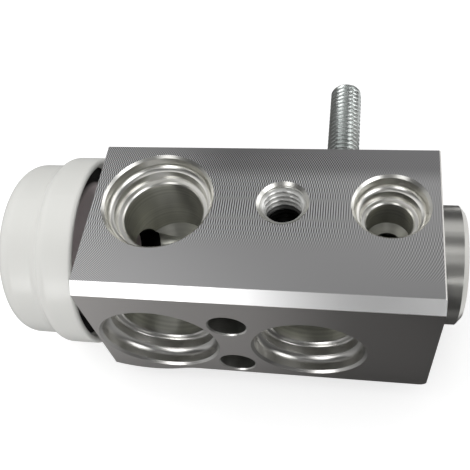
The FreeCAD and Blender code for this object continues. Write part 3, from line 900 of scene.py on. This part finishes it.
    def build(self, name: str, place: Matrix, finish: Finish) -> bpy.types.Object:
        """Make the threaded piece as a plain mesh in its place.

        Args:
            name: The piece's name.
            place: Where the piece's start and +Z axis go.
            finish: The piece's finish.

        Returns:
            The finished object.
        """
        tree, keys = self.tree()
        piece = add_object(name, bpy.data.meshes.new(name))
        modifier = piece.modifiers.new("thread", "NODES")
        modifier.node_group = tree
        for key, value in {
            "Major radius": self.major,
            "Minor radius": self.minor,
            "Pitch": self.pitch,
            "Length": self.length,
            "Chamfer": self.chamfer,
            "Rows": int(self.length / self.pitch * self.rows_per_turn) + self.spare_rows,
            "Columns": self.columns + 1,
            "Finish": finish.material(),
        }.items():
            modifier[keys[key]] = value
        depsgraph = bpy.context.evaluated_depsgraph_get()
        mesh = bpy.data.meshes.new_from_object(piece.evaluated_get(depsgraph))
        piece.modifiers.clear()
        piece.data = mesh
        mesh.name = name
        mesh.transform(place)
        mesh.shade_smooth()
        mesh.set_sharp_from_angle(angle=math.radians(self.sharp_degrees))
        return piece


def dress(frame: Mapping[str, object], finish: Finish, *names: str) -> None:
    """Give CAD nodes a material.

    Args:
        finish: The nodes' finish.
        names: The nodes' names.
    """
    material = finish.material()
    for name in names:
        data = frame["nodes"][name].data
        data.materials.clear()
        data.materials.append(material)
        LOG.info("%s dressed as %s", name, material.name)


@dataclass
class Block:
    """The drilled block, its stud and the thread in the clamp hole."""

    finish: Finish = field(default_factory=MachinedBlockFinish)
    # Zinc plating on steel: pale and faintly green, with a soft grain over the rolled thread.
    stud_finish: Finish = PlainFinish("zinc_plated_steel", "#e4e9e7", 0.28, 1.0, 0.3)
    # A tapped thread with painted shade in its roots and below the light's reach.
    tapped_finish: Finish = field(default_factory=TappedFinish)
    stud_pitch: float = 1.0 * MM
    stud_radius: float = 2.95 * MM
    stud_root: float = 2.4 * MM
    stud_chamfer: float = 0.75 * MM
    clamp_pitch: float = 1.25 * MM
    clamp_major: float = 4.0 * MM
    clamp_minor: float = 3.35 * MM
    clamp_length: float = 8.8 * MM
    clamp_chamfer: float = 0.5 * MM
    clamp_top: Point = (8.55 * MM, 18.9 * MM, 17.35 * MM)

    def stud(self) -> bpy.types.Object:
        """Turn the plain stud into a threaded one in the same place.

        Returns:
            The threaded stud, on the block's body.
        """
        low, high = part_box("mounting_stud")
        centre = (low + high) / 2
        sizes = (
            self.stud_pitch,
            self.stud_radius,
            self.stud_root,
            high.y - low.y,
            self.stud_chamfer,
        )
        start = Matrix.Translation((centre.x, low.y, centre.z))
        place = start @ Matrix.Rotation(-math.pi / 2, 4, "X")
        thread = Threads(ThreadSide.OUTSIDE, *sizes)
        stud = thread.build("threaded_stud", place, self.stud_finish)
        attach(stud, "valve_body")
        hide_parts("mounting_stud")
        return stud

    def clamp_thread(self) -> bpy.types.Object:
        """Line the clamp hole with its thread.

        Returns:
            The thread, on the block's body.
        """
        sizes = (
            self.clamp_pitch,
            self.clamp_major,
            self.clamp_minor,
            self.clamp_length,
            self.clamp_chamfer,
        )
        place = Matrix.Translation(self.clamp_top) @ Matrix.Rotation(math.pi, 4, "X")
        lining = Threads(ThreadSide.INSIDE, *sizes)
        thread = lining.build("clamp_hole_thread", place, self.tapped_finish)
        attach(thread, "valve_body")
        return thread

    def build(self, frame: Mapping[str, object]) -> None:
        """Dress the block and add its threaded pieces.
        """
        dress(frame, self.finish, "valve_block")
        for piece in (self.stud(), self.clamp_thread()):
            LOG.info("%s built", piece.name)


@dataclass
class PowerHead:
    """The diaphragm housing and the moulded cap that covers it."""

    cap_finish: Finish = field(default_factory=MouldedCapFinish)
    # Pressed stainless: dull and faintly pink, with painted shade at its rim under the cap's lip.
    pressed_finish: Finish = PressedFinish("pressed_stainless", "#f0e6e7", 0.6, 0.75, 0.25)
    # Moulded nitrile rubber: nearly black, with a dull sheen.
    seal_finish: Finish = PlainFinish("nitrile_seal", "#17181a", 0.55)
    pressed_nodes: tuple[str, ...] = (
        "head_dome",
        "diaphragm",
        "head_base",
        "head_neck",
        "rod_seal_retainer",
    )
    seal_nodes: tuple[str, ...] = ("head_seal", "rod_seal", "adjusting_plug_seal")

    def build(self, frame: Mapping[str, object]) -> None:
        """Dress the power head.
        """
        dress(frame, self.cap_finish, "head_cap")
        dress(frame, self.pressed_finish, *self.pressed_nodes)
        dress(frame, self.seal_finish, *self.seal_nodes)


@dataclass
class MovingSet:
    """The pieces that carry the diaphragm's movement to the ball."""

    # Ground and polished steel: it mirrors its surroundings almost sharply.
    polished_finish: Finish = PlainFinish("polished_steel", "#c8c8ca", 0.12, 1.0, 0.4, 0.02)
    # Spring wire, drawn and coiled: a little greyer, with a softer sheen.
    spring_finish: Finish = PlainFinish("drawn_spring_steel", "#a6a7aa", 0.28, 1.0, 0.2)
    turned_finish: Finish = TurnedFinish("turned_alloy", "#cbcac6")
    stroke_joint: str = "valve_stroke"

    def coil(self, frame: Mapping[str, object]) -> bpy.types.Object:
        """Make a copy of the coil spring, with its doubled points merged, in the same place.

        Returns:
            The coil, on the block's body.
        """
        mesh = frame["nodes"]["valve_spring"].data.copy()
        mesh.name = "coil_spring"
        shell = bmesh.new()
        shell.from_mesh(mesh)
        bmesh.ops.remove_doubles(shell, verts=shell.verts, dist=WELD)
        shell.to_mesh(mesh)
        shell.free()
        coil = add_object("coil_spring", mesh)
        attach(coil, "valve_body")
        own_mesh(coil)
        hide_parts("valve_spring")
        return coil

    def build(self, frame: Mapping[str, object]) -> None:
        """Dress the moving pieces.
        """
        dress(frame, self.polished_finish, "push_rod", "valve_ball", "fill_ball")
        dress(frame, self.spring_finish, "valve_spring", "damper_spring")
        LOG.info("%s built", self.coil(frame).name)
        dress(frame, self.turned_finish, "diaphragm_stop", "sensing_rod", "ball_carrier")


@dataclass
class AdjustingPlug:
    """The turned plug that sets the spring."""

    finish: Finish = TurnedFinish("turned_aluminium_plug", "#e8e7e2")

    def build(self, frame: Mapping[str, object]) -> None:
        """Dress the plug."""
        dress(frame, self.finish, "adjusting_plug")


@dataclass(frozen=True)
class Softbox:
    """A rectangular white lamp that looks at the object.

    Its place is in degrees round the object and metres away from it, and its size in metres.
    """

    name: str
    azimuth: float
    elevation: float
    distance: float
    width: float
    height: float
    radiance: float
    reflected: bool = True

    def build(self, target: Vector) -> None:
        """Place the lamp.

        Args:
            target: The point that it looks at.
        """
        data = bpy.data.lights.new(self.name, "AREA")
        data.shape = "RECTANGLE"
        data.size, data.size_y = self.width, self.height
        data.energy = self.radiance * math.pi * self.width * self.height
        lamp = add_object(self.name, data)
        away = direction(self.azimuth, self.elevation)
        lamp.location = target + away * self.distance
        lamp.rotation_mode = "QUATERNION"
        lamp.rotation_quaternion = (-away).to_track_quat("-Z", "Y")
        lamp.visible_glossy = self.reflected
        LOG.info("%s lamp placed", self.name)


@dataclass(frozen=True)
class TentPanel:
    """A soft round patch of light on the tent's cloth, with its core and its reach in degrees."""

    azimuth: float
    elevation: float
    core: float
    reach: float
    brightness: float


@dataclass(frozen=True)
class MatCard:
    """A card on the mat: it starts at an X, lies between two Y and changes the mat's shade."""

    left: float
    front: float
    back: float
    shade: float


@dataclass
class Studio:
    """White floor, grey light tent, grey mat, lamps and camera."""

    floor_height: float
    floor_size: float = 3.0
    floor_colour: str = "#cfcfcf"
    floor_glow: float = 0.58
    room_light: float = 0.6
    tent_radius: float = 0.9
    tent_lift: float = 1.0 * MM
    tent_base: float = 0.06
    tent_rings: int = 24
    sides: int = 48
    tent_panels: tuple[TentPanel, ...] = (
        TentPanel(-57.0, 84.6, 7.0, 16.3, 0.47),
        TentPanel(165.3, 45.6, 7.0, 24.0, 0.52),
        TentPanel(-114.3, 57.7, 4.4, 34.0, 0.78),
        TentPanel(118.0, 14.0, 8.0, 34.0, 1.5),
        TentPanel(20.0, 67.0, 2.0, 9.0, 0.7),
        TentPanel(66.0, 81.0, 3.0, 10.0, 0.75),
        TentPanel(-112.0, 16.0, 8.0, 34.0, 0.35),
        TentPanel(-12.0, 28.0, 4.0, 16.0, 0.45),
        TentPanel(60.0, 29.0, 12.0, 26.0, 2.6),
        TentPanel(-20.0, 4.0, 8.0, 18.0, 3.0),
        TentPanel(-20.0, 11.0, 5.0, 15.0, 2.6),
    )
    mat_radius: float = 0.85
    mat_lift: float = 0.05 * MM
    mat_reach: float = 60.0 * MM
    mat_cards: tuple[MatCard, ...] = (
        MatCard(36.0 * MM, -850.0 * MM, -22.0 * MM, 0.12),
        MatCard(50.0 * MM, 2.0 * MM, 200.0 * MM, 16.0),
    )
    near_shade: float = 0.45
    near_reach: float = 8.0 * MM
    mat_shades: tuple[tuple[float, float], ...] = (
        (0.12, 0.62),
        (0.32, 0.4),
        (0.5, 0.34),
        (0.66, 0.12),
        (1.0, 0.1),
    )
    camera_place: Point = (20.72 * MM, -47.41 * MM, 108.36 * MM)
    camera_azimuth: float = 19.41
    camera_elevation: float = 56.25
    camera_roll: float = -14.07
    camera_near: float = 0.005
    focal_share: float = 662.75 / 470
    sensor: float = 36.0
    centre_shift: tuple[float, float] = (5.55 / 470, 12.01 / 470)
    lamps: tuple[Softbox, ...] = (
        Softbox("window", -22.0, 30.0, 0.7, 0.26, 0.3, 1.7),
        Softbox("slit", 13.0, 28.5, 0.7, 0.06, 0.05, 4.6),
        Softbox("overhead", -60.0, 74.0, 0.8, 0.9, 0.9, 0.75, reflected=False),
        Softbox("side_fill", -115.0, 42.0, 0.8, 0.5, 0.5, 1.1, reflected=False),
    )

    def seen(self, tree: Tree) -> Node:
        """Give 1 for what the camera sees, straight, in a reflection or through a clear piece.

        Args:
            tree: The floor's or the room's node tree.

        Returns:
            The node that gives 1 or 0.
        """
        path = add_node(tree, "ShaderNodeLightPath").outputs
        straight, mirrored = path["Is Camera Ray"], path["Is Glossy Ray"]
        first = add_node(tree, MATH, straight, mirrored, operation="MAXIMUM")
        return add_node(tree, MATH, first, path["Is Transmission Ray"], operation="MAXIMUM")

    def floor(self) -> None:
        """Lay the floor, white to the camera and in reflections, and keep the object's shadow."""
        half = self.floor_size / 2
        mesh = bpy.data.meshes.new("floor")
        corners = [(-half, -half), (half, -half), (half, half), (-half, half)]
        mesh.from_pydata([(x, y, self.floor_height) for x, y in corners], [], [(0, 1, 2, 3)])
        floor = add_object("floor", mesh)
        material, tree = new_material("studio_floor")
        matt = add_node(tree, "ShaderNodeBsdfDiffuse", linear(self.floor_colour))
        glow = add_node(tree, MATH, self.seen(tree), self.floor_glow, operation="MULTIPLY")
        lift = add_node(tree, "ShaderNodeEmission", named={"Strength": glow})
        both = add_node(tree, "ShaderNodeAddShader", matt, lift)
        add_node(tree, "ShaderNodeOutputMaterial", both)
        mesh.materials.append(material)
        floor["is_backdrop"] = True
        LOG.info("floor laid")

    def room(self) -> None:
        """Make the room white where it is seen, and lit at a plain level elsewhere."""
        world = bpy.data.worlds.new("room")
        bpy.context.scene.world = world
        world.use_nodes = True
        tree = world.node_tree
        tree.nodes.clear()
        strength = add_node(tree, MIX, self.seen(tree), self.room_light, 1.0)
        room = add_node(tree, "ShaderNodeBackground", linear("#ffffff"), strength)
        add_node(tree, "ShaderNodeOutputWorld", room)
        LOG.info("room lit")

    def circle(self, radius: float, height: float) -> list[Point]:
        """Give the points of a level circle round the origin.

        Args:
            radius: The circle's radius.
            height: Its height.

        Returns:
            Its points, one for each side.
        """
        turns = [math.tau * side / self.sides for side in range(self.sides)]
        return [(radius * math.cos(turn), radius * math.sin(turn), height) for turn in turns]

    def only_reflected(self, cloth: bpy.types.Object) -> None:
        """Hide a piece of the studio from all but reflections.

        Args:
            cloth: The tent or the mat.
        """
        cloth.visible_camera = False
        cloth.visible_diffuse = False
        cloth.visible_shadow = False

    def tent(self) -> None:
        """Hang a grey tent, dark at the sides and lighter overhead, that only reflections see."""
        points, faces = [], []
        for ring in range(self.tent_rings + 1):
            rise = math.pi / 2 * ring / self.tent_rings
            base = self.floor_height + self.tent_lift
            height = base + math.sin(rise) * self.tent_radius
            points += self.circle(math.cos(rise) * self.tent_radius, height)
        for low in range(0, self.tent_rings * self.sides, self.sides):
            high = low + self.sides
            for side in range(self.sides):
                after = (side + 1) % self.sides
                faces.append((low + after, low + side, high + side, high + after))
        mesh = bpy.data.meshes.new("light_tent")
        mesh.from_pydata(points, [], faces)
        mesh.materials.append(self.tent_cloth())
        tent = add_object("light_tent", mesh)
        self.only_reflected(tent)
        tent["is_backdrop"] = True
        LOG.info("light tent hung")

    def tent_cloth(self) -> bpy.types.Material:
        """Build the tent's cloth, dark grey with soft patches of light.

        Returns:
            The cloth's material.
        """
        material, tree = new_material("tent_cloth")
        place = add_node(tree, "ShaderNodeTexCoord").outputs["Object"]
        outward = add_node(tree, VECTOR_MATH, place, operation="NORMALIZE")
        light: Value = self.tent_base
        for panel in self.tent_panels:
            towards = direction(panel.azimuth, panel.elevation)
            nearness = add_node(tree, VECTOR_MATH, outward, towards, operation="DOT_PRODUCT")
            edge, core = (math.cos(math.radians(angle)) for angle in (panel.reach, panel.core))
            rise = (nearness, edge, core, 0.0, panel.brightness)
            patch = add_node(tree, RANGE, *rise, interpolation_type="SMOOTHSTEP")
            light = add_node(tree, MATH, patch, light, operation="ADD")
        glow = add_node(tree, "ShaderNodeEmission", named={"Strength": light})
        add_node(tree, "ShaderNodeOutputMaterial", glow)
        return material

    def mat(self) -> None:
        """Lay a grey mat with a dark and a light card on it, that only reflections see."""
        points = self.circle(self.mat_radius, self.floor_height + self.mat_lift)
        mesh = bpy.data.meshes.new("grey_mat")
        mesh.from_pydata(points, [], [tuple(range(self.sides))])
        mesh.materials.append(self.mat_cloth())
        mat = add_object("grey_mat", mesh)
        self.only_reflected(mat)
        mat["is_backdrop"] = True
        LOG.info("grey mat laid")

    def mat_cloth(self) -> bpy.types.Material:
        """Build the mat's cloth, which darkens to the right and behind its front strip.

        Returns:
            The cloth's material.
        """
        material, tree = new_material("mat_cloth")
        place = add_node(tree, "ShaderNodeTexCoord").outputs["Object"]
        x, y, _ = add_node(tree, "ShaderNodeSeparateXYZ", place).outputs
        share = add_node(tree, RANGE, x, -self.mat_reach, self.mat_reach)
        ramp = add_node(tree, "ShaderNodeValToRGB", share)
        stops = ramp.color_ramp.elements
        while len(stops) < len(self.mat_shades):
            stops.new(0.5)
        for stop, (spot, shade) in zip(stops, self.mat_shades):
            stop.position = spot
            stop.color = (shade, shade, shade, 1.0)
        level = add_node(tree, RANGE, y, -self.near_reach, 0.0, 1.0, self.near_shade)
        for card in self.mat_cards:
            middle, reach = (card.front + card.back) / 2, (card.back - card.front) / 2
            right = add_node(tree, MATH, x, card.left, operation="GREATER_THAN")
            between = add_node(tree, MATH, y, middle, reach, operation="COMPARE")
            on_card = add_node(tree, MATH, right, between, operation="MULTIPLY")
            change = add_node(tree, MIX, on_card, 1.0, card.shade)
            level = add_node(tree, MATH, level, change, operation="MULTIPLY")
        glow = add_node(tree, "ShaderNodeEmission", ramp, level)
        add_node(tree, "ShaderNodeOutputMaterial", glow)
        return material

    def camera(self) -> None:
        """Set the camera where the photograph was taken from."""
        data = bpy.data.cameras.new("camera")
        data.sensor_width = self.sensor
        data.lens = self.focal_share * self.sensor
        data.shift_x, data.shift_y = self.centre_shift
        data.clip_start = self.camera_near
        camera = add_object("camera", data)
        back = direction(self.camera_azimuth, self.camera_elevation)
        right = Vector((0, 0, 1)).cross(back).normalized()
        up = back.cross(right)
        roll = math.radians(self.camera_roll)
        wide = math.cos(roll) * right + math.sin(roll) * up
        tall = -math.sin(roll) * right + math.cos(roll) * up
        turn = Matrix((wide, tall, back)).transposed().to_4x4()
        camera.matrix_world = Matrix.Translation(self.camera_place) @ turn
        bpy.context.scene.camera = camera
        LOG.info("camera set")

    def build(self, target: Vector) -> None:
        """Build the studio.

        Args:
            target: The point that the lamps look at.
        """
        self.floor()
        self.room()
        self.tent()
        self.mat()
        for lamp in self.lamps:
            lamp.build(target)
        self.camera()
        bpy.context.scene.view_settings.view_transform = "Standard"


def main() -> None:
    """Load the solids, dress them and build the studio."""
    logging.basicConfig(level=logging.INFO, format="%(message)s")
    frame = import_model()
    solid_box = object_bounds()
    for assembly in (Block(), PowerHead(), MovingSet(), AdjustingPlug()):
        assembly.build(frame)
    low, high = solid_box
    Studio(floor_height=low.z).build((low + high) / 2)


if __name__ == "__main__":
    main()
